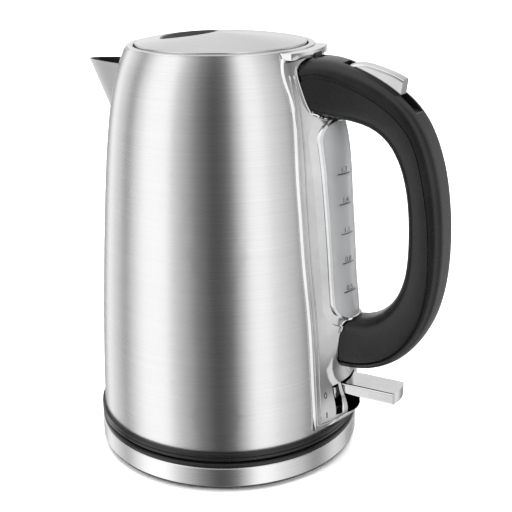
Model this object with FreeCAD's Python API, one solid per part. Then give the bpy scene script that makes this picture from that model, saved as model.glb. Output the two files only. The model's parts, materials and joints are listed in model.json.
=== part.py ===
"""Cordless electric kettle: a steel jug with a hinged lid that stands on a round power base.

Millimetres. +Z is up, +X points to the handle, -X to the spout. The origin is on the
jug's axis, on the plane that the base's feet rest on.
"""
import FreeCAD, Part
import math
import os

from FreeCAD import Vector

# ---------------------------------------------------------------- driving sizes
# power base
base_bottom_z = 2.0           # underside of the base's plastic, above the feet's soles
band_bottom_z = 3.5
band_top_z = 15.0
band_wall = 0.8
base_deck_z = 17.5            # top of the black deck
base_wall = 2.2
foot_length = 17.0
foot_angles = (-105.0, 15.0, 135.0)
tower_radius = 17.0           # central connector that the jug drops over
tower_height = 15.0
cord_inlet_radius = 3.2
cord_inlet_z = 9.45
gland_wall = 1.2

# jug
seat_gap = 1.5                # air between the deck and the jug's ring
ring_height = 5.0             # black ring under the steel shell
shell_foot_radius = 75.5
shell_taper = 15.5            # gentle loss of radius towards the top
shell_shoulder = 8.3          # extra loss of radius near the top
shell_wall = 0.8
rim_z = 234.0
rim_width = 3.9               # steel between the mouth and the top of the shell
plate_height = 30.0           # heating plate's top above the shell's foot
plate_wall = 1.5

# lid
lid_gap = 1.0                 # dark line round the lid
lid_rise = 4.3
lid_wall = 0.8
plug_depth = 8.5
lid_pin_radius = 1.0
hinge_boss_radius = 1.9

# spout
spout_reach = 31.8            # tip beyond the shell
spout_drop = 64.0             # rim down to the spout's lower end
spout_half_width = 17.0
spout_wall = 0.9

# handle column on the jug
column_wall = 4.0
flange_lip = 1.8
brim_wall = 3.3
window_half_width = 15.0
bezel_margin = 6.5
bezel_depth = 1.8
glass_wall = 1.8

# handle
handle_width = 25.0
root_width = 38.0
collar_length = 9.5           # black root piece before the outer cover starts

# switch lever
lever_pin_radius = 1.5
lever_thickness = 6.8
lever_length = 30.7           # paddle from the column to its tip
lever_width = 18.0
lever_slot_width = 4.6

# lid release button
button_width = 8.6
button_pin_radius = 1.0

# lid latch
latch_width = 8.2
latch_height = 3.0
latch_drop = 5.2              # top of the rim to the latch's underside
latch_length = 10.5
latch_travel = 3.0

# fits
slip = 0.05                   # radial clearance of a pin in its bearing
press = 0.05                  # radial room left where a sheet hugs its neighbour
touch_gap = 0.3               # air between pieces that pass each other

# The handle, column, spout and button are listed further down as they lie on this shell.
# level() and reach() carry those figures to the shell in use.
listed_bottom_z = 24.0
listed_height = 210.0
listed_foot_radius = 75.5

# worked out from the sizes above
base_radius = shell_foot_radius + 2.0
ring_radius = shell_foot_radius + 1.8
foot_inner_radius = base_radius - 11.5
foot_outer_radius = base_radius - 3.5
base_screw_circle = base_radius - 25.5
plate_screw_circle = shell_foot_radius - 15.5
ring_bottom_z = base_deck_z + seat_gap
shell_bottom_z = ring_bottom_z + ring_height
shell_height = rim_z - shell_bottom_z
plate_z = shell_bottom_z + plate_height
mouth_radius = shell_foot_radius - shell_taper - shell_shoulder - rim_width
lid_radius = mouth_radius - lid_gap
lid_edge_z = rim_z + 1.0
lid_pivot_x = lid_radius - 6.8
lid_pivot_z = rim_z - 1.0
spout_tip_z = rim_z - 13.0
spout_root_z = rim_z - spout_drop
column_bottom_z = shell_bottom_z + 3.0
column_top_z = rim_z - 3.0
lever_top_z = shell_bottom_z + 25.5
lever_pivot_z = shell_bottom_z + 22.0
lever_slot_inner_y = lever_width / 2 + 2.8
latch_low_z = rim_z - latch_drop
Z_AXIS = Vector(0, 0, 1)
Y_AXIS = Vector(0, 1, 0)
X_AXIS = Vector(1, 0, 0)


# ---------------------------------------------------------------- small helpers
def box(x0, x1, y0, y1, z0, z1):
    """Block between two corners."""
    return Part.makeBox(x1 - x0, y1 - y0, z1 - z0, Vector(x0, y0, z0))


def rod(radius, length, start, axis=Z_AXIS):
    """Solid cylinder that starts at a point and runs along an axis."""
    return Part.makeCylinder(radius, length, Vector(*start), axis)


def ring(inner, outer, z0, z1):
    """Plain ring about the jug's axis."""
    return rod(outer, z1 - z0, (0, 0, z0)).cut(rod(inner, z1 - z0 + 2, (0, 0, z0 - 1)))


def polygon(points):
    """Closed wire through points."""
    return Part.makePolygon([Vector(*p) for p in points] + [Vector(*points[0])])


def turned(outline):
    """Solid of revolution of a closed outline of (radius, height) points."""
    face = Part.Face(polygon([(r, 0, z) for r, z in outline]))
    return face.revolve(Vector(0, 0, 0), Z_AXIS, 360)


def slab_xz(outline, y0, y1):
    """Outline of (x, z) points made into a slab between two y planes."""
    face = Part.Face(polygon([(x, y0, z) for x, z in outline]))
    return face.extrude(Vector(0, y1 - y0, 0))


def spline(points):
    """Smooth open curve through points."""
    curve = Part.BSplineCurve()
    curve.interpolate([Vector(*p) for p in points])
    return curve.toShape()


def line(a, b):
    return Part.LineSegment(Vector(*a), Vector(*b)).toShape()


def around(shape, angles):
    """Copies of a shape turned about the jug's axis."""
    copies = []
    for angle in angles:
        copy = shape.copy()
        copy.rotate(Vector(0, 0, 0), Z_AXIS, angle)
        copies.append(copy)
    return copies


def blend_table(table, value):
    """Smooth value between the rows of a short table of (key, number)."""
    if value <= table[0][0]:
        return table[0][1]
    for (k0, v0), (k1, v1) in zip(table, table[1:]):
        if value <= k1:
            share = (value - k0) / (k1 - k0)
            return v0 + (v1 - v0) * share * share * (3 - 2 * share)
    return table[-1][1]


def save(name, shape):
    """Write one piece as parts/NAME.step."""
    solids = shape.Solids
    if not solids:
        raise ValueError(name + " has no solid")
    result = solids[0] if len(solids) == 1 else Part.makeCompound(solids)
    result.exportStep("parts/" + name + ".step")


# ---------------------------------------------------------------- jug outline
def level(z):
    """Height on the shell in use, for a height listed on the 210 mm tall shell."""
    return shell_bottom_z + (z - listed_bottom_z) * shell_height / listed_height


def reach(x):
    """Distance from the jug's axis, for one listed on the 75.5 mm foot radius."""
    return x + shell_foot_radius - listed_foot_radius


def shell_radius(z):
    """Outside radius of the steel shell at a height."""
    share = min(max((z - shell_bottom_z) / shell_height, 0.0), 1.0)
    return shell_foot_radius - shell_taper * share ** 1.4 - shell_shoulder * share ** 10


def shell_edge(inset, z0, z1):
    """Side curve of the shell, moved inwards by an inset."""
    count = 15
    heights = [z0 + (z1 - z0) * i / (count - 1) for i in range(count)]
    return spline([(shell_radius(z) - inset, 0, z) for z in heights])


def shell_core(inset, z0, z1):
    """Solid of everything inside the shell's side, moved inwards by an inset."""
    side = shell_edge(inset, z0, z1)
    low = (shell_radius(z0) - inset, 0, z0)
    high = (shell_radius(z1) - inset, 0, z1)
    wire = Part.Wire([line((0, 0, z0), low), side, line(high, (0, 0, z1)), line((0, 0, z1), (0, 0, z0))])
    return Part.Face(wire).revolve(Vector(0, 0, 0), Z_AXIS, 360)


# ---------------------------------------------------------------- power base
def make_base():
    inner = base_radius - band_wall
    inlet_hole = rod(cord_inlet_radius + gland_wall, 20, (0, base_radius - 12, cord_inlet_z), Y_AXIS)
    band = turned([
        (inner, band_bottom_z), (base_radius - 0.5, band_bottom_z), (base_radius, band_bottom_z + 0.5),
        (base_radius, band_top_z - 0.5), (base_radius - 0.5, band_top_z), (inner, band_top_z)])
    save("base_steel_band", band.cut(inlet_hole))

    deck_top = base_deck_z - 0.9
    deck_under = deck_top - base_wall
    skirt_inner = inner - base_wall
    deck = turned([
        (skirt_inner, band_bottom_z + 1.0), (inner, band_bottom_z + 1.0), (inner, band_top_z),
        (base_radius - 0.4, band_top_z), (base_radius - 0.4, base_deck_z - 0.6),
        (base_radius - 1.2, base_deck_z), (base_radius - 7, base_deck_z),
        (base_radius - 10, deck_top), (tower_radius, deck_top),
        (tower_radius, deck_under), (skirt_inner, deck_under)])
    floor_top = band_bottom_z + 1.0
    screw_angles = (60, 180, 300)
    boss = rod(4.0, deck_under - floor_top, (base_screw_circle, 0, floor_top))
    bosses = around(boss, screw_angles)
    pilot_holes = around(rod(1.3, 7, (base_screw_circle, 0, band_bottom_z)), screw_angles)
    deck = deck.fuse(bosses).cut(pilot_holes).cut(inlet_hole)
    save("base_top_shell", deck)

    floor_plate = turned([
        (0, base_bottom_z), (base_radius - 2, base_bottom_z), (base_radius - 0.6, base_bottom_z + 0.6),
        (base_radius - 0.6, band_bottom_z), (skirt_inner, band_bottom_z), (skirt_inner, floor_top),
        (0, floor_top)])
    foot_pocket = foot_shape(base_bottom_z, base_bottom_z + 1.0, slip)
    screw_holes = around(rod(1.7, 10, (base_screw_circle, 0, base_bottom_z - 1)), screw_angles)
    head_wells = around(rod(3.2, 1.2, (base_screw_circle, 0, base_bottom_z)), screw_angles)
    clamp_y = base_radius - 30.5
    clamp_screw_xs = (-6.9, 6.9)
    rest_top = cord_inlet_z - cord_inlet_radius - 0.3
    cord_rest = box(-9, 9, clamp_y - 5, clamp_y + 5, floor_top, rest_top)
    floor_plate = floor_plate.cut(foot_pocket).cut(screw_holes).cut(head_wells).fuse(cord_rest)
    pilots = [rod(0.9, 4, (x, clamp_y, floor_top - 0.5)) for x in clamp_screw_xs]
    save("base_bottom_cover", floor_plate.cut(pilots))

    save("base_feet", foot_shape(0.0, base_bottom_z + 1.0, 0.0))
    screw = rod(3.0, 1.2, (base_screw_circle, 0, base_bottom_z))
    screw = screw.fuse(rod(1.3, 6, (base_screw_circle, 0, base_bottom_z + 1)))
    save("base_screws", Part.makeCompound(around(screw, screw_angles)))

    tower_top = deck_top + tower_height
    tower = turned([
        (0, floor_top), (tower_radius + 3, floor_top), (tower_radius + 3, floor_top + 1.5),
        (tower_radius - slip, floor_top + 1.5), (tower_radius - slip, tower_top - 4),
        (tower_radius - 2, tower_top - 2),
        (9.0, tower_top), (3.0, tower_top), (3.0, floor_top + 3), (0, floor_top + 3)])
    for radius in (7.0, 12.0):
        tower = tower.cut(ring(radius - 0.8, radius + 0.8, tower_top - 7, tower_top + 1))
    save("base_connector_tower", tower)
    contacts = [ring(radius - 0.8, radius + 0.8, tower_top - 7, tower_top - 4) for radius in (7.0, 12.0)]
    contacts.append(rod(1.5, tower_height - 4, (0, 0, floor_top + 3)))
    save("base_contacts", Part.makeCompound(contacts))

    gland_start = base_radius - 12
    gland = rod(cord_inlet_radius + gland_wall, 10.5, (0, gland_start, cord_inlet_z), Y_AXIS)
    flange_radius = cord_inlet_radius + gland_wall + 0.4
    gland_flange = rod(flange_radius, 1.5, (0, gland_start - 1.5, cord_inlet_z), Y_AXIS)
    gland = gland.fuse(gland_flange.cut(turned([
        (skirt_inner, 0), (base_radius, 0), (base_radius, base_deck_z), (skirt_inner, base_deck_z)])))
    gland = gland.cut(rod(cord_inlet_radius, 20, (0, gland_start - 3, cord_inlet_z), Y_AXIS))
    save("cord_gland", gland)

    shoulder_top = rest_top + 2.8
    saddle = rod(cord_inlet_radius + 1.4, 7, (0, clamp_y - 3.5, cord_inlet_z), Y_AXIS)
    saddle = saddle.common(box(-9, 9, clamp_y - 4, clamp_y + 4, rest_top, base_deck_z))
    clamp = box(-9, 9, clamp_y - 3.5, clamp_y + 3.5, rest_top, shoulder_top).fuse(saddle)
    clamp = clamp.cut(rod(cord_inlet_radius + 0.1, 10, (0, clamp_y - 5, cord_inlet_z), Y_AXIS))
    clamp = clamp.cut([rod(1.1, 6, (x, clamp_y, floor_top + 1)) for x in clamp_screw_xs])
    save("cord_clamp", clamp)
    clamp_screws = []
    for x in clamp_screw_xs:
        shank = rod(0.9, shoulder_top - floor_top, (x, clamp_y, floor_top))
        clamp_screws.append(shank.fuse(rod(1.8, 1.2, (x, clamp_y, shoulder_top))))
    save("cord_clamp_screws", Part.makeCompound(clamp_screws))


def foot_shape(z0, z1, grow):
    """The curved rubber pads near the base's rim, between two heights."""
    half = math.degrees(foot_length / 2 / foot_outer_radius)
    pads = []
    for angle in foot_angles:
        outer = Part.makeCylinder(foot_outer_radius + grow, z1 - z0, Vector(0, 0, z0), Z_AXIS, 2 * half)
        pad = outer.cut(rod(foot_inner_radius - grow, z1 - z0 + 2, (0, 0, z0 - 1)))
        pads += around(pad, (angle - half,))
    return Part.makeCompound(pads)


# ---------------------------------------------------------------- jug
def column_nose(z):
    """How far the handle column stands out from the shell in the middle."""
    rises = ((27, 5.0), (58, 6.0), (88, 11.0), (112, 10.3), (140, 10.6), (187, 11.6), (203, 8.5),
             (216, 5.4), (231, 3.4))
    return blend_table([(level(height), rise) for height, rise in rises], z)


def column_half_width(z):
    """Half width of the column's flange."""
    halves = ((27, 28.8), (88, 28.8), (127, 29.8), (161, 29.3), (196, 27.0), (216, 25.4), (231, 23.0))
    return blend_table([(level(height), half) for height, half in halves], z)


def column_solid(inset, z0, z1, narrow=0.0):
    """The handle column's smooth outer form, moved inwards by an inset, down to a back plane."""
    stations = 11
    sections = []
    for i in range(stations):
        z = z0 + (z1 - z0) * i / (stations - 1)
        half = column_half_width(z) - narrow
        radius = shell_radius(z)
        points = []
        for k in range(-6, 7):
            y = half * k / 6
            bell = (1 + math.cos(math.pi * abs(k) / 6)) / 2
            rise = flange_lip + (column_nose(z) - flange_lip) * bell
            points.append((math.sqrt(radius ** 2 - y ** 2) + rise - inset, y, z))
        back_low = (reach(38.0), -half, z)
        back_high = (reach(38.0), half, z)
        sections.append(Part.Wire([line(back_low, points[0]), spline(points),
                                   line(points[-1], back_high), line(back_high, back_low)]))
    return Part.makeLoft(sections, True, False)


def window_plan(half, z0, z1):
    """Rounded upright window shape, as a bar along +X."""
    bar = box(reach(40), reach(110), -half, half, z0, z1)
    corners = [e for e in bar.Edges if abs(e.Vertexes[0].Z - e.Vertexes[-1].Z) < 1e-6
               and abs(e.Vertexes[0].Y - e.Vertexes[-1].Y) < 1e-6]
    return bar.makeFillet(min(half, (z1 - z0) / 2) * 0.72, corners)


def latch_channel():
    """Guide that the lid's latch slides in, through collar, shell and column."""
    low = latch_low_z - touch_gap
    half = latch_width / 2 + touch_gap
    far_end = mouth_radius + 0.2 + latch_length + latch_travel + touch_gap
    return box(mouth_radius - 3.8, far_end, -half, half, low, low + latch_height + 2 * touch_gap)


def make_shell():
    shell = shell_core(0.0, shell_bottom_z, rim_z - 0.6)
    rim = turned([(0, rim_z - 1.2), (shell_radius(rim_z) - 0.1, rim_z - 1.2),
                  (shell_radius(rim_z) - 0.5, rim_z), (mouth_radius + 0.5, rim_z + 0.2),
                  (mouth_radius, rim_z - 0.3), (0, rim_z - 0.3)])
    shell = shell.fuse(rim).cut(rod(mouth_radius, 40, (0, 0, rim_z - 20)))
    hollow = shell_core(shell_wall, shell_bottom_z - 0.01, rim_z - 2.5)
    neck = ring(mouth_radius, mouth_radius + shell_wall, rim_z - 13, rim_z - 1)
    shell = shell.cut(hollow.cut(neck))
    # openings: gauge, lever, spout pouring hole, lid latch
    gauge_hole = window_plan(window_half_width - 4, level(95), level(192))
    lever_hole = box(reach(50), reach(90), -18.5, 18.5, shell_bottom_z + 5, plate_z - 3)
    latch_hole = latch_channel()
    # the pouring hole narrows downwards, so that the spout covers it all the way
    top_half = spout_half_width * 0.64
    middle_half = spout_half_width * 0.33
    pour_outline = ((-top_half, spout_tip_z - 1), (top_half, spout_tip_z - 1), (middle_half, spout_root_z + 25),
                    (1.2, spout_root_z + 10), (-1.2, spout_root_z + 10), (-middle_half, spout_root_z + 25))
    pour_face = Part.Face(polygon([(-reach(90), y, z) for y, z in pour_outline]))
    pour_hole = pour_face.extrude(Vector(50, 0, 0))
    shell = shell.cut([gauge_hole, lever_hole, latch_hole, pour_hole])
    save("body_shell", shell)


def spout_solid(inset):
    """The V-shaped spout's outside, moved inwards by an inset."""
    root_x = -shell_radius(spout_tip_z) + 12
    root_nose = -shell_radius(spout_root_z) + 0.5
    tip_nose = -shell_radius(spout_tip_z) - spout_reach
    stations = 6
    sections = []
    for i in range(stations):
        share = i / (stations - 1)
        z = spout_root_z + inset * 1.6 + (spout_tip_z - spout_root_z - inset * 1.6) * share
        nose = root_nose + (tip_nose - root_nose) * share + inset * 1.5
        half = 2.5 + (spout_half_width - 2.5) * share ** 0.75 - inset
        bend = 0.55 * half
        sections.append(Part.Wire([
            spline([(root_x, -half, z), ((root_x + nose) / 2 - 2, -bend - 0.1 * half, z), (nose, 0, z),
                    ((root_x + nose) / 2 - 2, bend + 0.1 * half, z), (root_x, half, z)]),
            line((root_x, half, z), (root_x, -half, z))]))
    return Part.makeLoft(sections, True, False)


def make_spout():
    outside = spout_solid(0.0)
    inside = spout_solid(spout_wall)
    top = box(-120, 0, -40, 40, spout_tip_z, spout_tip_z + 5)
    spout = outside.cut(inside).cut(top).cut(shell_core(-0.05, spout_root_z - 30, rim_z - 0.5))
    biggest = max(spout.Solids, key=lambda solid: solid.Volume)
    save("spout", biggest)


def make_jug_inside():
    ring_top = shell_bottom_z
    save("bottom_ring", turned([
        (shell_foot_radius - 6, ring_bottom_z), (ring_radius - 0.6, ring_bottom_z),
        (ring_radius, ring_bottom_z + 0.6), (ring_radius, ring_bottom_z + 2.2),
        (ring_radius - 0.5, ring_bottom_z + 2.5), (ring_radius, ring_bottom_z + 2.8),
        (ring_radius, ring_top - 0.5), (ring_radius - 0.5, ring_top),
        (shell_foot_radius - shell_wall - 0.1, ring_top),
        (shell_foot_radius - shell_wall - 0.1, ring_top + 4),
        (shell_foot_radius - shell_wall - 2.5, ring_top + 4),
        (shell_foot_radius - 6, ring_top)]))
    socket_hole = tower_radius + 10
    cover = ring(socket_hole, shell_foot_radius - 6 - slip, ring_bottom_z + 0.5, ring_bottom_z + 3)
    screw_spots = (30, 150, 270)
    cover = cover.cut(around(rod(1.7, 8, (plate_screw_circle, 0, ring_bottom_z - 2)), screw_spots))
    save("underside_plate", cover)
    post = rod(3.5, plate_z - plate_wall - ring_bottom_z - 3, (plate_screw_circle, 0, ring_bottom_z + 3))
    pilots = around(rod(1.3, 9, (plate_screw_circle, 0, ring_bottom_z + 2)), screw_spots)
    save("plate_posts", Part.makeCompound(around(post, screw_spots)).cut(pilots))
    screw = rod(3.0, 1.2, (plate_screw_circle, 0, ring_bottom_z - 0.7))
    screw = screw.fuse(rod(1.3, 9, (plate_screw_circle, 0, ring_bottom_z + 0.4)))
    save("underside_screws", Part.makeCompound(around(screw, screw_spots)))

    plate_edge = shell_radius(plate_z) - shell_wall - 0.1
    save("heating_plate", rod(plate_edge - 1.6, plate_wall, (0, 0, plate_z - plate_wall)))
    save("plate_seal", turned([
        (plate_edge - 1.6, plate_z - plate_wall - 1), (plate_edge - 0.3, plate_z - plate_wall - 1),
        (plate_edge - 0.3, plate_z + 1), (plate_edge - 4, plate_z + 1), (plate_edge - 4, plate_z),
        (plate_edge - 1.6, plate_z)]))
    element_radius = shell_foot_radius - 29.5
    element_z = plate_z - plate_wall - 3.5
    element = Part.makeTorus(element_radius, 3.5, Vector(0, 0, element_z), Z_AXIS, -180, 180, 300)
    element.rotate(Vector(0, 0, 0), Z_AXIS, 30)
    save("heating_element", element)

    control_top = plate_z - plate_wall
    control = ring(tower_radius + 4.5, 27, ring_bottom_z + 4.6, control_top - 2)
    control = control.fuse(rod(27, 2, (0, 0, control_top - 4)))
    save("thermostat_control", control)
    discs = [rod(6, 0.5, (x, 0, control_top - 1.8)).fuse(rod(1.2, 1.8, (x, 0, control_top - 1.8)))
             for x in (-14, 14)]
    save("bimetal_discs", Part.makeCompound(discs))
    socket_outer = tower_radius + 4.2
    tower_top = base_deck_z - 0.9 + tower_height
    socket = turned([
        (tower_radius + 1.0, ring_bottom_z), (tower_radius + 9.5, ring_bottom_z),
        (tower_radius + 9.5, ring_bottom_z + 4), (socket_outer, ring_bottom_z + 4),
        (socket_outer, tower_top + 6), (0, tower_top + 6), (0, tower_top + 2),
        (tower_radius - 1.0, tower_top + 2), (tower_radius + 1.0, tower_top - 2)])
    save("jug_connector_socket", socket)

    # black collar inside the mouth, with the shelf that carries the lid's hinge
    collar_top = rim_z - 5
    collar = ring(mouth_radius - 1.5, mouth_radius - 0.05, rim_z - 13, collar_top)
    shelf_z = rim_z - 14.5
    shelf = rod(mouth_radius - 0.05, 2.5, (0, 0, shelf_z)).common(
        box(lid_pivot_x - 9, mouth_radius, -60, 60, shelf_z, shelf_z + 3))
    ears = []
    for y in (-10.5, 8.0):
        ear = slab_xz([(lid_pivot_x - 7, shelf_z + 2), (lid_pivot_x + 1, shelf_z + 2),
                       (lid_pivot_x + hinge_boss_radius, lid_pivot_z - 2),
                       (lid_pivot_x + hinge_boss_radius * 0.9, lid_pivot_z),
                       (lid_pivot_x - hinge_boss_radius, lid_pivot_z)], y, y + 2.5)
        ear = ear.fuse(rod(hinge_boss_radius, 2.5, (lid_pivot_x, y, lid_pivot_z), Y_AXIS))
        ears.append(ear)
    collar = collar.fuse([shelf] + ears)
    collar = collar.cut(rod(lid_pin_radius, 40, (lid_pivot_x, -20, lid_pivot_z), Y_AXIS))
    collar = collar.cut(latch_channel())
    save("mouth_collar", collar)
    coil = rod(1.75, 7, (lid_pivot_x, -3.5, lid_pivot_z), Y_AXIS).fuse(
        box(lid_pivot_x - 0.3, lid_pivot_x + 0.3, -3.4, -2.8, shelf_z + 2.5, lid_pivot_z))
    save("lid_torsion_spring", coil.cut(rod(lid_pin_radius, 9, (lid_pivot_x, -4.5, lid_pivot_z), Y_AXIS)))
    save("lid_hinge_pin", rod(lid_pin_radius, 21, (lid_pivot_x, -10.5, lid_pivot_z), Y_AXIS))

    # filter behind the spout
    filter_x = -shell_radius(spout_tip_z) + 5.5
    frame = box(filter_x, filter_x + 2, -15, 15, spout_root_z + 4, rim_z - 15)
    slots = []
    slot_rise = 4.2
    rows = int((rim_z - 15 - spout_root_z - 7) / slot_rise)
    for row in range(rows):
        for column in range(7):
            y = -11.2 + 3.4 * column
            z = spout_root_z + 7 + slot_rise * row
            slots.append(box(filter_x - 1, filter_x + 3, y, y + 2, z, z + 2.8))
    frame = frame.cut(slots).fuse(box(filter_x, filter_x + 6, -15, -13.5, rim_z - 21, rim_z - 15))
    frame = frame.fuse(box(filter_x, filter_x + 6, 13.5, 15, rim_z - 21, rim_z - 15))
    save("spout_filter", frame)

    tube_x = reach(40)
    tube = rod(3.5, shelf_z - plate_z - 0.2, (tube_x, -30, plate_z)).cut(
        rod(2.5, rim_z - plate_z, (tube_x, -30, plate_z - 1)))
    save("steam_tube", tube)
    switch = box(tube_x - 2, tube_x + 16, -36, -20, plate_z - 22, plate_z - plate_wall - 8)
    switch = switch.cut(box(tube_x - 3, tube_x + 17, -33, -23, plate_z - 20, plate_z - plate_wall - 14))
    save("steam_switch", switch)


# ---------------------------------------------------------------- handle column
def make_column():
    window_bottom_z = level(89)
    window_top_z = level(198)
    outside = column_solid(0.0, column_bottom_z, column_top_z)
    core = shell_core(-0.05, shell_bottom_z - 1, rim_z - 0.5)
    column = outside.cut(core)
    hollow = column_solid(column_wall, column_bottom_z + 5, column_top_z - 7, 6.0)
    column = column.cut(hollow)
    # recessed bezel round the gauge
    bezel = window_plan(window_half_width + bezel_margin, window_bottom_z - 5, window_top_z + 5)
    bezel = bezel.cut(column_solid(bezel_depth, column_bottom_z, column_top_z))
    bezel = bezel.cut(window_plan(window_half_width + 1.2, window_bottom_z - 1.2, window_top_z + 1.2))
    column = column.cut(bezel)
    column = column.cut(window_plan(window_half_width, window_bottom_z, window_top_z))
    # brim that carries the rim's line over the handle's root
    brim_radius = shell_radius(rim_z) + 6.3
    brim = rod(brim_radius, brim_wall, (0, 0, rim_z - 0.4 - brim_wall))
    brim = brim.common(box(brim_radius - 18, brim_radius + 1, -22.5, 22.5, rim_z - 5, rim_z + 1))
    brim = brim.cut(shell_core(-0.35, rim_z - 30, rim_z - 0.2))
    brim = brim.cut(rod(shell_radius(rim_z) + 0.35, 20, (0, 0, rim_z - 10)))
    column = column.fuse(brim)
    # slots for the lever's arms and the pocket under the paddle
    slot_low = lever_top_z - 16.5
    slots = [box(reach(60), reach(90), y0, y0 + lever_slot_width, slot_low, lever_top_z + 1.0)
             for y0 in (lever_slot_inner_y, -lever_slot_inner_y - lever_slot_width)]
    pocket_half = lever_width / 2 + 0.6
    pocket = box(reach(50), reach(95), -pocket_half, pocket_half, slot_low - 1, lever_top_z + 1.2)
    arm_half = lever_slot_inner_y + lever_slot_width + touch_gap
    arm_room = box(reach(60), reach(75.2), -arm_half, arm_half, slot_low - 1, lever_top_z + 1.2)
    column = column.cut(slots).cut(pocket).cut(arm_room).cut(latch_channel())
    column = column.cut(handle_screw_shapes(slip))
    column = column.cut(handle_form(0.0).cut(column_solid(2.2, level(40), rim_z)))
    biggest = max(column.Solids, key=lambda solid: solid.Volume)
    save("handle_bracket", biggest)

    glass = window_plan(window_half_width - 0.05, window_bottom_z + 0.05, window_top_z - 0.05)
    glass = glass.common(outside.cut(column_solid(glass_wall, column_bottom_z, column_top_z)))
    save("gauge_window", max(glass.Solids, key=lambda solid: solid.Volume))
    seal = window_plan(window_half_width + 1.5, window_bottom_z - 1.5, window_top_z + 1.5)
    seal = seal.cut(window_plan(window_half_width - 1.5, window_bottom_z + 1.5, window_top_z - 1.5))
    seal = seal.common(column_solid(column_wall + 0.1, column_bottom_z + 5, column_top_z - 7, 6.2))
    seal = seal.cut(core)
    save("gauge_gasket", max(seal.Solids, key=lambda solid: solid.Volume))


# ---------------------------------------------------------------- handle
# stations along the handle: outer point, inner point (x, z) and width there
handle_stations = (
    ((52.0, 229.5), (63.0, 200.5), root_width),
    ((63.5, 230.8), (73.5, 199.8), root_width - 4.5),
    ((76.5, 227.8), (83.0, 198.4), root_width - 9.0),
    ((93.0, 221.5), (91.5, 196.0), handle_width + 1.5),
    ((108.5, 212.0), (99.0, 191.0), handle_width),
    ((119.3, 199.9), (104.8, 183.5), handle_width),
    ((127.2, 180.0), (109.4, 172.5), handle_width),
    ((131.2, 159.0), (112.3, 158.0), handle_width),
    ((132.9, 137.0), (113.4, 138.5), handle_width),
    ((132.2, 114.5), (112.9, 119.5), handle_width),
    ((127.8, 93.5), (107.8, 104.5), handle_width),
    ((117.8, 75.5), (99.5, 94.8), handle_width),
    ((103.5, 63.2), (91.5, 89.6), handle_width + 0.5),
    ((88.0, 58.6), (84.5, 88.0), handle_width + 1.0),
    ((72.0, 59.5), (76.0, 88.0), handle_width + 2.0),
)


def handle_line():
    """The handle's stations carried to the shell in use: outer point, inner point, width."""
    return [((reach(ox), level(oz)), (reach(ix), level(iz)), width)
            for (ox, oz), (ix, iz), width in handle_stations]


def handle_form(inset, width_cut=0.0):
    """The whole D-shaped handle as one rounded form, with flat ends."""
    around_count = 16
    net = []
    for (ox, oz), (ix, iz), width in handle_line():
        cx, cz = (ox + ix) / 2, (oz + iz) / 2
        ux, uz = (ox - ix) / 2, (oz - iz) / 2
        depth = math.hypot(ux, uz)
        scale = (depth - inset) / depth
        half = width / 2 - inset - width_cut
        row = []
        for k in range(around_count):
            angle = 2 * math.pi * (k + 0.5) / around_count
            c, s = math.cos(angle), math.sin(angle)
            along = math.copysign(abs(c) ** 0.6, c) * scale * 1.035
            across = math.copysign(abs(s) ** 0.6, s) * half * 1.035
            row.append(Vector(cx + ux * along, across, cz + uz * along))
        net.append(row)
    rows = len(net)
    inner_knots = rows - 4
    surface = Part.BSplineSurface()
    surface.buildFromPolesMultsKnots(
        net, [4] + [1] * inner_knots + [4], [1] * (around_count + 1),
        list(range(inner_knots + 2)), list(range(around_count + 1)), False, True, 3, 3)
    skin = surface.toShape()
    loops = [e for e in skin.Edges if e.isClosed()]
    faces = [skin] + [Part.Face(Part.Wire(e)) for e in loops]
    shell = Part.makeShell(faces)
    shell.sewShape()
    solid = Part.Solid(shell)
    if solid.Volume < 0:
        solid.reverse()
    return solid


def seam_line(depth_top, depth_bottom):
    """Points of the parting line between cover and grip, a set depth inside the outer line."""
    points = []
    last = len(handle_stations) - 1
    for i, ((ox, oz), (ix, iz), _) in enumerate(handle_line()):
        depth = depth_top + (depth_bottom - depth_top) * min(1.0, i / (last - 5))
        length = math.hypot(ix - ox, iz - oz)
        points.append((ox + (ix - ox) * depth / length, 0, oz + (iz - oz) * depth / length))
    return points


def outside_of(points):
    """Thick block of all space on the outer side of a parting line."""
    shifted = [(x, -60, z) for x, _, z in points]
    first, end = shifted[0], shifted[-1]
    high, low, far = rim_z + 60, shell_bottom_z - 4, reach(220)
    top_left = (first[0] - 6, -60, high)
    top_right = (far, -60, high)
    low_right = (far, -60, low)
    low_left = (end[0] - 6, -60, low)
    wire = Part.Wire([spline(shifted), line(end, low_left), line(low_left, low_right),
                      line(low_right, top_right), line(top_right, top_left), line(top_left, first)])
    return Part.Face(wire).extrude(Vector(0, 120, 0))


def button_slot(grow):
    """Recess in the handle's back for the release button."""
    half = button_width / 2 + grow
    outline = ((74.5 - grow, 240), (74.5 - grow, 224.0), (80.0, 214.6), (107.0, 206.6), (116.5, 204.6),
               (122.0, 206.0), (128.0, 240))
    return slab_xz([(reach(x), level(z)) for x, z in outline], -half, half)


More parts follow.
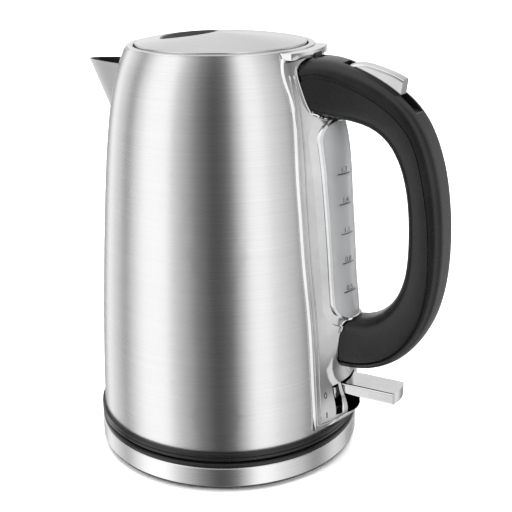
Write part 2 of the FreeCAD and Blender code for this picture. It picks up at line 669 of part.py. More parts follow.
def make_handle():
    whole = handle_form(0.0)
    column_body = column_solid(0.0, level(40), rim_z)
    core = shell_core(3.0, level(30), rim_z - 0.5)
    seam_upper = outside_of(seam_line(8.2, 5.6))
    seam_lower = outside_of(seam_line(11.2, 6.9))
    root_x, root_z = handle_line()[0][0]
    root_plane = box(0, root_x + collar_length + 2.5, -60, 60, level(190), level(260))
    root_plane.rotate(Vector(root_x, 0, root_z), Y_AXIS, -14)
    cover = whole.common(seam_upper).cut(root_plane).cut(column_body)
    slot = button_slot(touch_gap + 0.1)
    cover = cover.cut(slot).cut(button_pin_shape())
    save("handle_outer_cover", max(cover.Solids, key=lambda solid: solid.Volume))

    grip = handle_form(0.0, 0.35).cut(seam_lower)
    strip = handle_form(0.0, 1.2).common(seam_lower).cut(seam_upper)
    collar = handle_form(0.0, 0.5).common(seam_upper).common(root_plane)
    grip = grip.fuse(strip).fuse(collar)
    seat = column_body.fuse(core)
    grip = grip.cut(seat).cut(slot)
    grip = grip.cut(handle_screw_shapes(0.0)).cut(latch_channel()).cut(button_pin_shape())
    save("handle_screws", Part.makeCompound(handle_screw_shapes(0.0)))
    save("handle_inner_grip", max(grip.Solids, key=lambda solid: solid.Volume))


def handle_screw_shapes(grow):
    """Screws that hold the handle to the column, one at each root."""
    screws = []
    for z in (level(212), level(76)):
        x = shell_radius(z - 3.0) + 0.3
        head = rod(3.0 + grow, 1.5, (x, 0, z), X_AXIS)
        screws.append(head.fuse(rod(1.5 + grow, 15, (x + 1, 0, z), X_AXIS)))
    return screws


def button_pin_shape():
    """Pin that the release button tips on."""
    start = (reach(81), -button_width / 2 - 3, level(221))
    return rod(button_pin_radius, button_width + 6, start, Y_AXIS)


# ---------------------------------------------------------------- lid
def lid_crown(r, drop=0.0):
    """Height of the lid's dome at a radius."""
    return lid_edge_z + lid_rise * (1 - (r / lid_radius) ** 2) - drop


def dome(radius, drop, floor_z):
    """Solid under the lid's dome, out to a radius and down to a flat floor."""
    count = 9
    top = [(radius * i / (count - 1), 0, lid_crown(radius * i / (count - 1), drop)) for i in range(count)]
    edge_low = (radius, 0, floor_z)
    wire = Part.Wire([spline(top), line(top[-1], edge_low), line(edge_low, (0, 0, floor_z)),
                      line((0, 0, floor_z), top[0])])
    return Part.Face(wire).revolve(Vector(0, 0, 0), Z_AXIS, 360)


def scoop_plan(grow, z0, z1):
    """Lens-shaped finger recess near the spout side of the lid."""
    lens = rod(22 + grow, z1 - z0, (19.8 - lid_radius, 0, z0))
    return lens.common(rod(lid_radius - 13.8 + grow, z1 - z0, (0, 0, z0)))


def make_lid():
    skirt_low = lid_edge_z - 3.2
    cap = dome(lid_radius, 0.0, skirt_low)
    cap = cap.cut(dome(lid_radius - lid_wall, lid_wall, skirt_low - 1))
    hem = [e for e in cap.Edges if abs(e.BoundBox.ZMax - lid_edge_z) < 0.01
           and abs(e.BoundBox.XLength - 2 * lid_radius) < 0.01]
    cap = cap.makeFillet(0.5, hem)
    save("lid_cap", cap.cut(scoop_plan(0.0, lid_edge_z - 10, lid_edge_z + 10)))

    scoop_floor = lid_edge_z - 0.6
    above = lid_edge_z + 10
    scoop = scoop_plan(1.2, scoop_floor - 1.2, above).common(dome(lid_radius - 2, lid_wall + press, 0))
    lip = scoop_plan(-press, scoop_floor, above).common(dome(lid_radius - 2, 0.25, 0))
    scoop = scoop.fuse(lip).cut(scoop_plan(-1.3, scoop_floor, above))
    save("lid_scoop", scoop)

    plug_radius = mouth_radius - 3.2
    inner_radius = lid_radius - lid_wall - 0.05
    plug_top = lid_edge_z - 2.6
    plug_low = lid_edge_z - 1.5 - plug_depth
    plug = turned([(0, plug_low), (plug_radius - 1, plug_low), (plug_radius, plug_low + 1),
                   (plug_radius, plug_top - 1.0), (inner_radius, plug_top - 1.0), (inner_radius, plug_top),
                   (0, plug_top)])
    plug = plug.cut(turned([(0, plug_low + 1.6), (plug_radius - 2, plug_low + 1.6),
                            (plug_radius - 2, plug_top + 1), (0, plug_top + 1)]))
    # barrel and ribs that turn on the hinge pin, between the two ears
    rib_low = plug_low + 0.8
    ribs = []
    for y0, y1 in ((-7.4, -4.4), (4.4, 7.4)):
        rib = slab_xz([(lid_pivot_x - 12, rib_low), (lid_pivot_x - 1, rib_low),
                       (lid_pivot_x + hinge_boss_radius, lid_pivot_z),
                       (lid_pivot_x, lid_pivot_z + 1.5), (lid_pivot_x - 12, lid_pivot_z + 1.0)], y0, y1)
        rib = rib.fuse(rod(hinge_boss_radius, y1 - y0, (lid_pivot_x, y0, lid_pivot_z), Y_AXIS))
        ribs.append(rib)
    plug = plug.fuse(ribs)
    behind = mouth_radius + 12
    room = [box(lid_pivot_x - 8.5, behind, y0, y0 + 3.3, plug_low - 1, above) for y0 in (-10.9, 7.6)]
    rear = box(lid_pivot_x - 1.5, behind, -7.5, 7.5, plug_low - 1, lid_pivot_z - hinge_boss_radius - 0.2)
    spring_room = rod(2.4, 8, (lid_pivot_x, -4, lid_pivot_z), Y_AXIS)
    leg_room = box(lid_pivot_x - 4, lid_pivot_x + 1, -4, 4, plug_low - 1, lid_pivot_z - 1)
    leg_sweep = box(lid_pivot_x, behind, -4, 4, plug_low - 1, lid_pivot_z + 0.5)
    spring_room = spring_room.fuse([leg_room, leg_sweep])
    plug = plug.cut(room).cut(rear).cut(spring_room)
    plug = plug.cut(box(lid_pivot_x + 2.4, behind, -30, 30, plug_low - 1, plug_top - 1.1))
    plug = plug.cut(rod(lid_pin_radius + slip, 40, (lid_pivot_x, -20, lid_pivot_z), Y_AXIS))
    plug = plug.cut(scoop_plan(1.2 + press, scoop_floor - 1.2 - press, above))
    save("lid_inner_shell", max(plug.Solids, key=lambda solid: solid.Volume))

    seal_z = plug_low + 3.0
    seal = turned([(plug_radius, seal_z), (plug_radius + 1.2, seal_z + 0.6),
                   (plug_radius + 1.2, seal_z + 1.4), (plug_radius, seal_z + 2.0)])
    save("lid_seal", seal.cut(box(lid_pivot_x - 9, behind, -60, 60, plug_low, lid_edge_z)))


# ---------------------------------------------------------------- lid release
def make_release():
    half = button_width / 2
    crest_points = ((76.2, 224.6), (77.6, 227.2), (81.5, 228.2), (92.9, 226.3), (101.0, 223.8),
                    (106.4, 221.3))
    crest_line = [(reach(x), -half, level(z)) for x, z in crest_points]
    rear_low = (reach(105.0), -half, level(211.5))
    front_low = (reach(82.0), -half, level(218.6))
    wire = Part.Wire([spline(crest_line), line(crest_line[-1], rear_low), line(rear_low, front_low),
                      line(front_low, crest_line[0])])
    button = Part.Face(wire).extrude(Vector(0, 2 * half, 0))
    crest = [e for e in button.Edges if e.Length > 25 and e.BoundBox.ZMax > level(227)]
    button = button.makeFillet(1.6, crest)
    button = button.cut(rod(button_pin_radius + slip, 20, (reach(81), -10, level(221)), Y_AXIS))
    spring_seat = box(reach(91.5), reach(104.0), -2.1, 2.1, level(205), level(216.2))
    save("release_button", button.cut(spring_seat))
    save("button_pivot_pin", button_pin_shape())
    leaf = ((92.6, 211.4), (98.0, 215.8), (103.4, 208.2), (103.4, 207.8), (103.0, 207.8), (98.0, 215.2),
            (93.0, 211.0), (92.6, 211.0))
    save("button_spring", slab_xz([(reach(x), level(z)) for x, z in leaf], -1.6, 1.6))

    latch_start = mouth_radius + 0.2
    latch = box(latch_start, latch_start + latch_length, -latch_width / 2, latch_width / 2, latch_low_z,
                latch_low_z + latch_height)
    nose_cut = slab_xz([(latch_start - 4, latch_low_z - 1), (latch_start + 2, latch_low_z - 1),
                        (latch_start - 0.1, latch_low_z + 1.4),
                        (latch_start - 4, latch_low_z + 1.4)], -10, 10)
    save("lid_latch", latch.cut(nose_cut))


# ---------------------------------------------------------------- switch lever
def make_lever():
    low = lever_top_z - lever_thickness
    half = lever_width / 2
    root_x = reach(79.8)
    tip_x = root_x + lever_length
    pivot_x = reach(52)
    nose_radius = 28
    paddle = box(root_x - 6, tip_x, -half, half, low, lever_top_z)
    round_end = rod(nose_radius, 30, (tip_x - nose_radius, 0, low - 10))
    paddle = paddle.common(round_end.fuse(box(pivot_x, tip_x - 12, -20, 20, 0, 80)))
    edges = [e for e in paddle.Edges if e.BoundBox.XLength > 20]
    paddle = paddle.makeFillet(1.2, edges)
    arm_y = lever_slot_inner_y + lever_slot_width - 0.6
    arm_x = reach(70.5)
    arms = box(arm_x, arm_x + 4.3, -arm_y, arm_y, low, lever_top_z)
    tips = [box(arm_x, arm_x + 7.1, y0, y0 + lever_slot_width - 1.2, low, lever_top_z)
            for y0 in (lever_slot_inner_y + 0.6, -arm_y)]
    paddle = paddle.fuse([arms] + tips)
    carrier_half = 6.0
    socket_half = carrier_half + slip
    paddle = paddle.cut(box(pivot_x, arm_x + 5.5, -socket_half, socket_half, low + 1.5, lever_top_z - 1.5))
    save("switch_lever", paddle)

    bore = rod(lever_pin_radius + slip, 20, (pivot_x, -10, lever_pivot_z), Y_AXIS)
    carrier = box(pivot_x, arm_x + 5.4, -carrier_half, carrier_half, low + 1.5 + slip,
                  lever_top_z - 1.5 - slip)
    carrier = carrier.fuse(rod(3.4, 2 * carrier_half, (pivot_x, -carrier_half, lever_pivot_z), Y_AXIS))
    save("lever_carrier", carrier.cut(bore))
    pin = rod(lever_pin_radius, 20, (pivot_x, -10, lever_pivot_z), Y_AXIS)
    save("lever_pivot_pin", pin)
    foot_z = ring_bottom_z + 3
    cheeks = [box(pivot_x - 4, pivot_x + 4, y0, y0 + 3.5, foot_z, lever_pivot_z + 4) for y0 in (-10, 6.5)]
    brace = box(pivot_x - 4, pivot_x + 4, -10, 10, foot_z, foot_z + 3)
    save("lever_bearing", brace.fuse(cheeks).cut(pin))


# ---------------------------------------------------------------- run
os.makedirs("parts", exist_ok=True)
make_base()
make_shell()
make_spout()
make_jug_inside()
make_column()
make_handle()
make_lid()
make_release()
make_lever()
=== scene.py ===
"""Studio scene of the electric kettle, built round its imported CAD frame. Metres."""
import json
import math

import bmesh
import bpy
from mathutils import Matrix, Vector
from mathutils.bvhtree import BVHTree


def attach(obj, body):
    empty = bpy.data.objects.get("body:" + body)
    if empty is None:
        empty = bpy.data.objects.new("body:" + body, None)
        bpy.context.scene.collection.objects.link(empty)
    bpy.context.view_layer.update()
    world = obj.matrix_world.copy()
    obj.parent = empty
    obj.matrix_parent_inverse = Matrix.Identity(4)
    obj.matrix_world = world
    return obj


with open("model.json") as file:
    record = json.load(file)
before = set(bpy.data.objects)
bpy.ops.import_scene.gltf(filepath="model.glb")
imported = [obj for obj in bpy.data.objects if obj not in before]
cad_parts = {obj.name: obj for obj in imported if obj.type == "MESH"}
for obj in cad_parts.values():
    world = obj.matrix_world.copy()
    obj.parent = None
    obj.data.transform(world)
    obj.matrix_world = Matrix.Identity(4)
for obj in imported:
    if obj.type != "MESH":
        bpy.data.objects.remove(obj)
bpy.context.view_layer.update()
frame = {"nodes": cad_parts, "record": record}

MM = 0.001

# ---------------------------------------------------------------- camera
VIEW_AZIMUTH = math.radians(30.0)
CAMERA_DISTANCE = 0.5386    # from the jug's axis, level, metres
CAMERA_HEIGHT = 0.3039
PITCH_DOWN = 0.3452         # radians, as are the next two
YAW_RIGHT = 0.0326
ROLL = -0.0135
FOCAL_MM = 68.54
SENSOR_MM = 36.0


def add_camera():
    heading = VIEW_AZIMUTH - YAW_RIGHT
    flat = Vector((-math.sin(heading), math.cos(heading), 0.0))
    forward = flat * math.cos(PITCH_DOWN) - Vector((0, 0, math.sin(PITCH_DOWN)))
    right = forward.cross(Vector((0, 0, 1))).normalized()
    up = right.cross(forward)
    turn = Matrix((right, up, -forward)).transposed()
    data = bpy.data.cameras.new("studio_camera")
    data.lens = FOCAL_MM
    data.sensor_width = SENSOR_MM
    camera = bpy.data.objects.new("studio_camera", data)
    bpy.context.scene.collection.objects.link(camera)
    spot = Vector((math.sin(VIEW_AZIMUTH), -math.cos(VIEW_AZIMUTH), 0)) * CAMERA_DISTANCE
    spot.z = CAMERA_HEIGHT
    camera.matrix_world = Matrix.Translation(spot) @ (turn @ Matrix.Rotation(ROLL, 3, "Z")).to_4x4()
    bpy.context.scene.camera = camera


add_camera()


# ---------------------------------------------------------------- materials
class Shade:
    """A material with a few helpers for its node tree."""

    def __init__(self, name):
        self.material = bpy.data.materials.new(name)
        self.material.use_nodes = True
        self.tree = self.material.node_tree
        self.shader = self.tree.nodes["Principled BSDF"]
        self.place = self.add("ShaderNodeTexCoord").outputs["Object"]

    def add(self, kind, **values):
        node = self.tree.nodes.new(kind)
        for key, value in values.items():
            setattr(node, key, value)
        return node

    def link(self, source, target):
        self.tree.links.new(source, target)

    def set(self, **values):
        for key, value in values.items():
            self.shader.inputs[key.replace("_", " ")].default_value = value

    def math(self, operation, a, b=None):
        """A sum, product or root of sockets or plain numbers."""
        node = self.add("ShaderNodeMath", operation=operation)
        for socket, value in zip(node.inputs, (a, b)):
            if value is None:
                continue
            if isinstance(value, (int, float)):
                socket.default_value = value
            else:
                self.link(value, socket)
        return node.outputs[0]

    def stretched(self, scale):
        """Object coordinates in metres, times a scale along each axis."""
        node = self.add("ShaderNodeMapping")
        node.inputs["Scale"].default_value = scale
        self.link(self.place, node.inputs["Vector"])
        return node.outputs["Vector"]

    def noise(self, vector, scale, detail=3.0, rough=0.5):
        node = self.add("ShaderNodeTexNoise")
        node.inputs["Scale"].default_value = scale
        node.inputs["Detail"].default_value = detail
        node.inputs["Roughness"].default_value = rough
        self.link(vector, node.inputs["Vector"])
        return node.outputs["Fac"]

    def span(self, value, low, high, start=0.3, end=0.7):
        """A 0 to 1 value mapped to a range."""
        node = self.add("ShaderNodeMapRange")
        self.link(value, node.inputs["Value"])
        for key, number in (("From Min", start), ("From Max", end), ("To Min", low), ("To Max", high)):
            node.inputs[key].default_value = number
        return node.outputs["Result"]

    def tint(self, value, dark, light):
        """Colour between two tones."""
        node = self.add("ShaderNodeMix", data_type="RGBA")
        self.link(value, node.inputs["Factor"])
        node.inputs[6].default_value = (*dark, 1.0)
        node.inputs[7].default_value = (*light, 1.0)
        self.link(node.outputs[2], self.shader.inputs["Base Color"])

    def bump(self, height, depth, strength=1.0):
        node = self.add("ShaderNodeBump")
        node.inputs["Strength"].default_value = strength
        node.inputs["Distance"].default_value = depth
        self.link(height, node.inputs["Height"])
        self.link(node.outputs["Normal"], self.shader.inputs["Normal"])

    def stretch_shine(self, amount):
        """Highlights drawn out across the brushing, which runs round the Z axis."""
        self.set(Anisotropic=amount, Anisotropic_Rotation=0.25)
        tangent = self.add("ShaderNodeTangent", direction_type="RADIAL", axis="Z")
        self.link(tangent.outputs["Tangent"], self.shader.inputs["Tangent"])


LEVEL_GRAIN = (14.0, 14.0, 5200.0)     # long round the jug and very fine up it
LONG_SCRATCHES = (9.0, 9.0, 420.0)
GRAIN_DEPTH = 0.000008


def brushed_round(name, tone, roughness=(0.25, 0.3)):
    """Steel brushed round the jug's axis: fine level grain with longer scratches."""
    s = Shade(name)
    fine = s.noise(s.stretched(LEVEL_GRAIN), 1.0, 4.0, 0.65)
    broad = s.noise(s.stretched(LONG_SCRATCHES), 1.0, 3.0, 0.6)
    cloud = s.noise(s.place, 18.0, 2.0)
    both = s.math("ADD", s.math("MULTIPLY", fine, 0.78), s.math("MULTIPLY", broad, 0.22))
    s.tint(s.span(both, 0.0, 1.0, 0.35, 0.65), (tone * 0.94,) * 3, (tone * 1.05, tone * 1.05, tone * 1.045))
    mixed = s.math("ADD", s.math("MULTIPLY", both, 0.7), s.math("MULTIPLY", cloud, 0.3))
    s.link(s.span(mixed, roughness[0], roughness[1]), s.shader.inputs["Roughness"])
    s.bump(fine, GRAIN_DEPTH, 0.3)
    s.set(Metallic=1.0)
    s.stretch_shine(0.72)
    return s.material


def spout_steel_painted_shade(name):
    """The jug's steel outside; the throat, whose faces look up, is painted dull and dark as shade."""
    s = Shade(name)
    fine = s.noise(s.stretched(LEVEL_GRAIN), 1.0, 4.0, 0.65)
    facing = s.add("ShaderNodeSeparateXYZ")
    s.link(s.tree.nodes["Texture Coordinate"].outputs["Normal"], facing.inputs[0])
    unshaded_outside = s.span(facing.outputs[2], 1.0, 0.0, -0.05, 0.12)
    # painted shade: faces that look up, in the throat, are coloured near-black instead of steel
    s.tint(s.math("MULTIPLY", unshaded_outside, s.span(fine, 0.86, 1.0)), (0.05,) * 3, (0.66,) * 3)
    s.link(s.span(fine, 0.26, 0.34), s.shader.inputs["Roughness"])
    s.bump(fine, GRAIN_DEPTH, 0.3)
    s.set(Metallic=1.0)
    return s.material


def brushed_disc(name, tone):
    """Steel with rings about the Z axis, for the lid."""
    s = Shade(name)
    parts = s.add("ShaderNodeSeparateXYZ")
    s.link(s.place, parts.inputs[0])
    x, y = parts.outputs[0], parts.outputs[1]
    away = s.math("SQRT", s.math("ADD", s.math("MULTIPLY", x, x), s.math("MULTIPLY", y, y)))
    rings = s.add("ShaderNodeCombineXYZ")
    s.link(s.math("MULTIPLY", away, 4200.0), rings.inputs[0])
    s.link(s.math("MULTIPLY", x, 12.0), rings.inputs[1])
    s.link(s.math("MULTIPLY", y, 12.0), rings.inputs[2])
    fine = s.noise(rings.outputs[0], 1.0, 4.0, 0.65)
    s.tint(s.span(fine, 0.0, 1.0, 0.35, 0.65), (tone * 0.9,) * 3, (tone * 1.08,) * 3)
    s.link(s.span(fine, 0.2, 0.3), s.shader.inputs["Roughness"])
    s.bump(fine, 0.00001, 0.5)
    s.set(Metallic=1.0)
    s.stretch_shine(0.8)
    return s.material


def chrome(name):
    """Plated chrome, a little smeared and dusty."""
    s = Shade(name)
    smear = s.noise(s.place, 60.0, 4.0, 0.6)
    dust = s.noise(s.place, 900.0, 2.0, 0.5)
    s.tint(s.span(smear, 0.0, 1.0), (0.64, 0.64, 0.65), (0.74, 0.74, 0.74))
    s.link(s.span(s.math("ADD", s.math("MULTIPLY", smear, 0.7), s.math("MULTIPLY", dust, 0.3)), 0.04, 0.10),
           s.shader.inputs["Roughness"])
    s.bump(smear, 0.00002, 0.35)
    s.set(Metallic=1.0)
    return s.material


def moulded(name, dark, light, roughness, grain=2600.0, depth=0.00002, shine=0.5):
    """Moulded plastic or rubber with a fine spark-eroded grain and faint handling marks."""
    s = Shade(name)
    fine = s.noise(s.place, grain, 2.0, 0.5)
    wear = s.noise(s.place, 32.0, 4.0, 0.6)
    s.tint(s.span(wear, 0.0, 1.0), dark, light)
    s.link(s.span(s.math("ADD", s.math("MULTIPLY", wear, 0.6), s.math("MULTIPLY", fine, 0.4)), *roughness),
           s.shader.inputs["Roughness"])
    s.bump(fine, depth, 0.5)
    s.set(Specular_IOR_Level=shine)
    return s.material


def clear_plastic(name):
    """Smoky clear plastic with faint flow lines."""
    s = Shade(name)
    flow = s.noise(s.stretched((30.0, 30.0, 8.0)), 1.0, 3.0)
    s.tint(s.span(flow, 0.0, 1.0), (0.42, 0.43, 0.44), (0.56, 0.57, 0.58))
    s.link(s.span(flow, 0.12, 0.24), s.shader.inputs["Roughness"])
    s.bump(flow, 0.00005, 0.3)
    s.set(Transmission_Weight=0.55, IOR=1.49)
    return s.material


def plain_metal(name, dark, light, roughness=(0.25, 0.4)):
    """Bare metal with small spots of wear."""
    s = Shade(name)
    spots = s.noise(s.place, 700.0, 4.0, 0.6)
    s.tint(s.span(spots, 0.0, 1.0), dark, light)
    s.link(s.span(spots, *roughness), s.shader.inputs["Roughness"])
    s.bump(spots, 0.00002, 0.4)
    s.set(Metallic=1.0)
    return s.material


BODY_STEEL = brushed_round("body_steel", 0.7)
BAND_STEEL = brushed_round("band_steel", 0.76)
LID_STEEL = brushed_disc("lid_steel", 0.66)
SPOUT_STEEL_PAINTED_SHADE = spout_steel_painted_shade("spout_steel_painted_shade")
CHROME = chrome("bright_chrome")
HANDLE_BLACK = moulded("handle_black", (0.005,) * 3, (0.009, 0.009, 0.0095), (0.24, 0.31), 3200.0, 0.000012,
                       0.34)
GLOSS_BLACK = moulded("ring_black", (0.006,) * 3, (0.011,) * 3, (0.14, 0.22), 1800.0, 0.000008, 0.3)
MATT_BLACK = moulded("matt_black", (0.014,) * 3, (0.026,) * 3, (0.42, 0.55))
SCOOP_GREY = moulded("scoop_grey", (0.05,) * 3, (0.075, 0.075, 0.078), (0.4, 0.5))
WHITE_PLASTIC = moulded("inner_white", (0.72, 0.71, 0.68), (0.82, 0.81, 0.78), (0.4, 0.5))
SILICONE = moulded("silicone", (0.36,) * 3, (0.44,) * 3, (0.5, 0.62))
RUBBER = moulded("rubber", (0.02,) * 3, (0.032,) * 3, (0.6, 0.75), 1500.0, 0.00004)
INK = moulded("mark_ink", (0.012,) * 3, (0.02,) * 3, (0.4, 0.5))
CLEAR = clear_plastic("gauge_clear")
ZINC = plain_metal("zinc_steel", (0.45, 0.45, 0.46), (0.6, 0.6, 0.61))
BRASS = plain_metal("brass", (0.55, 0.38, 0.16), (0.72, 0.54, 0.26))
ALUMINIUM = plain_metal("aluminium", (0.5, 0.5, 0.51), (0.62, 0.62, 0.63), (0.35, 0.5))

BY_SLOT = {
    "brushed_steel": BODY_STEEL, "chrome_trim": CHROME, "handle_black": HANDLE_BLACK,
    "black_plastic": MATT_BLACK, "dark_grey_plastic": SCOOP_GREY, "white_plastic": WHITE_PLASTIC,
    "gauge_clear": CLEAR, "grey_silicone": SILICONE, "foot_rubber": RUBBER, "screw_steel": ZINC,
    "plain_steel": ALUMINIUM, "contact_brass": BRASS, "element_aluminium": ALUMINIUM,
}
# nodes whose material isn't their slot's
BY_NODE = {
    "base_steel_band": BAND_STEEL, "lid_cap": LID_STEEL, "bottom_ring": GLOSS_BLACK,
    "base_top_shell": GLOSS_BLACK, "spout": SPOUT_STEEL_PAINTED_SHADE,
}


def paint_frame():
    """Gives each CAD node its material."""
    for part in frame["record"]["subparts"]:
        node = frame["nodes"][part["node"]]
        material = BY_NODE.get(part["node"], BY_SLOT[part["material_slot"]])
        for holder in node.material_slots:
            holder.material = material


paint_frame()


# ---------------------------------------------------------------- marks that lie on CAD faces
INK_LIFT = 0.00008        # print stands this far off its face, metres
INK_DEPTH = 0.00006
RAY_START_X = 0.2         # behind the handle, beyond every CAD face
PRINT_STEP = 0.0008       # a bar follows its face in steps of this width


def surface_of(node):
    """Ray target of a CAD node at rest."""
    mesh = frame["nodes"][node].data
    return BVHTree.FromPolygons([v.co[:] for v in mesh.vertices], [p.vertices[:] for p in mesh.polygons])


def finish_piece(mesh_object, material, body):
    """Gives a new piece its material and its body."""
    mesh_object.data.materials.clear()
    mesh_object.data.materials.append(material)
    bpy.context.scene.collection.objects.link(mesh_object)
    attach(mesh_object, body)
    return mesh_object


def laid_on(tree, y, z, lift):
    """Point on the surface seen from +X at a place (y, z), lifted a little."""
    point, normal = tree.ray_cast(Vector((RAY_START_X, y, z)), Vector((-1, 0, 0)))[:2]
    if point is None:
        raise ValueError("no surface at y %.4f z %.4f" % (y, z))
    return point + normal.normalized() * lift


def mesh_from(name, made):
    """A mesh from finished bmesh work."""
    mesh = bpy.data.meshes.new(name)
    made.to_mesh(mesh)
    made.free()
    return mesh


def inked(name, mesh):
    """A printed mark on the jug: a flat mesh given the ink's depth."""
    piece = bpy.data.objects.new(name, mesh)
    thick = piece.modifiers.new("ink_depth", "SOLIDIFY")
    thick.thickness = INK_DEPTH
    return finish_piece(piece, INK, "jug")


def printed_bar(name, tree, y0, y1, z0, z1):
    """A flat printed bar between two corners in metres, wrapped on a surface."""
    made = bmesh.new()
    steps = max(2, int(abs(y1 - y0) / PRINT_STEP))
    rows = []
    for i in range(steps + 1):
        y = y0 + (y1 - y0) * i / steps
        rows.append([made.verts.new(laid_on(tree, y, z, INK_LIFT)) for z in (z0, z1)])
    for a, b in zip(rows, rows[1:]):
        made.faces.new((a[0], b[0], b[1], a[1]))
    return inked(name, mesh_from(name, made))


def printed_text(name, tree, words, height, y, z):
    """A generic figure wrapped on a surface, its lower left corner at (y, z)."""
    curve = bpy.data.curves.new(name + "_curve", "FONT")
    curve.body = words
    curve.size = height * 1.35
    holder = bpy.data.objects.new(name + "_curve", curve)
    bpy.context.scene.collection.objects.link(holder)
    bpy.context.view_layer.update()
    mesh = bpy.data.meshes.new_from_object(holder.evaluated_get(bpy.context.evaluated_depsgraph_get()))
    bpy.data.objects.remove(holder)
    for vertex in mesh.vertices:
        vertex.co = laid_on(tree, y + vertex.co.x, z + vertex.co.y, INK_LIFT)
    return inked(name, mesh)


def gauge_marks():
    """Ticks and generic figures on the water gauge; the figures are guesses, not the jug's volumes."""
    tree = surface_of("gauge_window")
    first_z, spacing, line_width = 0.1045, 0.0164, 0.0006
    for i, words in enumerate(("0.5", "0.8", "1.1", "1.4", "1.7")):
        z = first_z + spacing * i
        printed_bar("gauge_tick_%d" % i, tree, -0.0095, -0.0005, z, z + line_width)
        printed_text("gauge_figure_%d" % i, tree, words, 0.0030, -0.0078, z + 0.0011)


gauge_marks()


def lever_marks():
    """The generic O and I beside the lever's slot."""
    tree = surface_of("handle_bracket")
    centre_y, o_z, i_z = -0.0215, 0.0465, 0.0345
    o_half_width, o_half_height, o_inside = 0.00105, 0.0019, 0.68
    i_half_width, i_half_height = 0.0003, 0.0017
    made = bmesh.new()
    steps = 32
    loops = []
    for scale in (1.0, o_inside):
        loop = []
        for k in range(steps):
            turn = 2 * math.pi * k / steps
            y = centre_y + o_half_width * scale ** 1.3 * math.cos(turn)
            z = o_z + o_half_height * scale * math.sin(turn)
            loop.append(made.verts.new(laid_on(tree, y, z, INK_LIFT)))
        loops.append(loop)
    outer, inner = loops
    for k in range(steps):
        after = (k + 1) % steps
        made.faces.new((outer[k], outer[after], inner[after], inner[k]))
    inked("off_mark", mesh_from("off_mark", made))
    printed_bar("on_mark", tree, centre_y - i_half_width, centre_y + i_half_width,
                i_z - i_half_height, i_z + i_half_height)


lever_marks()


# ---------------------------------------------------------------- bright beads on the column
def bead_along(name, points, radius, closed):
    """A round chrome bead on the jug, along points in metres."""
    sides = 8
    made = bmesh.new()
    count = len(points)
    rows = []
    for i, point in enumerate(points):
        before = points[(i - 1) % count] if closed or i > 0 else point
        after = points[(i + 1) % count] if closed or i < count - 1 else point
        forward = (after - before).normalized()
        side = forward.cross(Vector((1, 0, 0.2))).normalized()
        up = side.cross(forward).normalized()
        rows.append([made.verts.new(point + radius * (side * math.cos(t) + up * math.sin(t)))
                     for t in (2 * math.pi * k / sides for k in range(sides))])
    pairs = list(zip(rows, rows[1:]))
    if closed:
        pairs.append((rows[-1], rows[0]))
    else:
        made.faces.new(rows[0])
        made.faces.new(list(reversed(rows[-1])))
    for a, b in pairs:
        for k in range(sides):
            made.faces.new((a[k], b[k], b[(k + 1) % sides], a[(k + 1) % sides]))
    bmesh.ops.recalc_face_normals(made, faces=made.faces)
    mesh = mesh_from(name, made)
    mesh.polygons.foreach_set("use_smooth", [True] * len(mesh.polygons))
    return finish_piece(bpy.data.objects.new(name, mesh), CHROME, "jug")


# half width of the column's flange at heights up the jug, mm
FLANGE = ((29.0, 28.8), (60.0, 28.8), (88.0, 28.8), (108.0, 29.3), (127.0, 29.8), (145.0, 29.6),
          (161.0, 29.3), (179.0, 28.2), (196.0, 27.0), (206.0, 26.2), (216.0, 25.4), (224.0, 24.2))


BEADS = ((1.0, 0.55), (3.6, 0.5))         # inset from the flange's edge and radius, mm
BEAD_LOW_Z, BEAD_HIGH_Z = 29.5, 223.0     # mm
BEAD_FOOT_Z = 28.6
BEAD_FOOT_Y = (-26.0, -20.0, -14.0)
BEAD_SINK = 0.0001                        # metres into the flange
BEAD_POINTS = 50


def flange_half(z):
    """Half width of the flange at a height, both in mm."""
    for (z0, h0), (z1, h1) in zip(FLANGE, FLANGE[1:]):
        if z <= z1:
            return h0 + (h1 - h0) * (z - z0) / (z1 - z0)
    return FLANGE[-1][1]


def flange_side(sign, inset):
    """Places (y, z) up one side of the flange, in mm."""
    low = BEAD_LOW_Z + inset
    heights = [low + (BEAD_HIGH_Z - BEAD_LOW_Z - inset) * i / (BEAD_POINTS - 1) for i in range(BEAD_POINTS)]
    return [(sign * (flange_half(z) - inset), z) for z in heights]


def flange_beads():
    """Two beads down each side of the flange; the outer near one turns along the foot."""
    tree = surface_of("handle_bracket")
    for number, (inset, radius) in enumerate(BEADS):
        near = list(reversed(flange_side(-1, inset)))
        if number == 0:
            near += [(y, BEAD_FOOT_Z + inset) for y in BEAD_FOOT_Y]
        for side, places in (("near", near), ("far", flange_side(1, inset))):
            points = [laid_on(tree, y * MM, z * MM, -BEAD_SINK) for y, z in places]
            bead_along("flange_bead_%s_%d" % (side, number), points, radius * MM, False)


# two sections of the handle at each root, from free air in to the column: outer and inner (x, z), width, mm
ROOTS = {
    "upper": (((93.0, 221.5), (91.5, 196.0), 26.5), ((52.0, 229.5), (63.0, 200.5), 38.0)),
    "lower": (((103.5, 63.2), (91.5, 89.6), 25.5), ((72.0, 59.5), (76.0, 88.0), 27.0)),
}


SQUARENESS = 0.6          # 1 is an ellipse, less is squarer
ROOT_STEPS = 72
ROOT_STAND_OFF = 0.7      # the ring lies this far outside the handle's root, mm
ROOT_BEAD = 1.0           # radius, mm


def section_point(section, turn):
    """Point on a handle section's rounded outline, in metres."""
    (ox, oz), (ix, iz), width = section
    c, s = math.cos(turn), math.sin(turn)
    along = math.copysign(abs(c) ** SQUARENESS, c)
    across = math.copysign(abs(s) ** SQUARENESS, s) * width / 2
    return Vector(((ox + ix) / 2 + (ox - ix) / 2 * along, across, (oz + iz) / 2 + (oz - iz) / 2 * along)) * MM


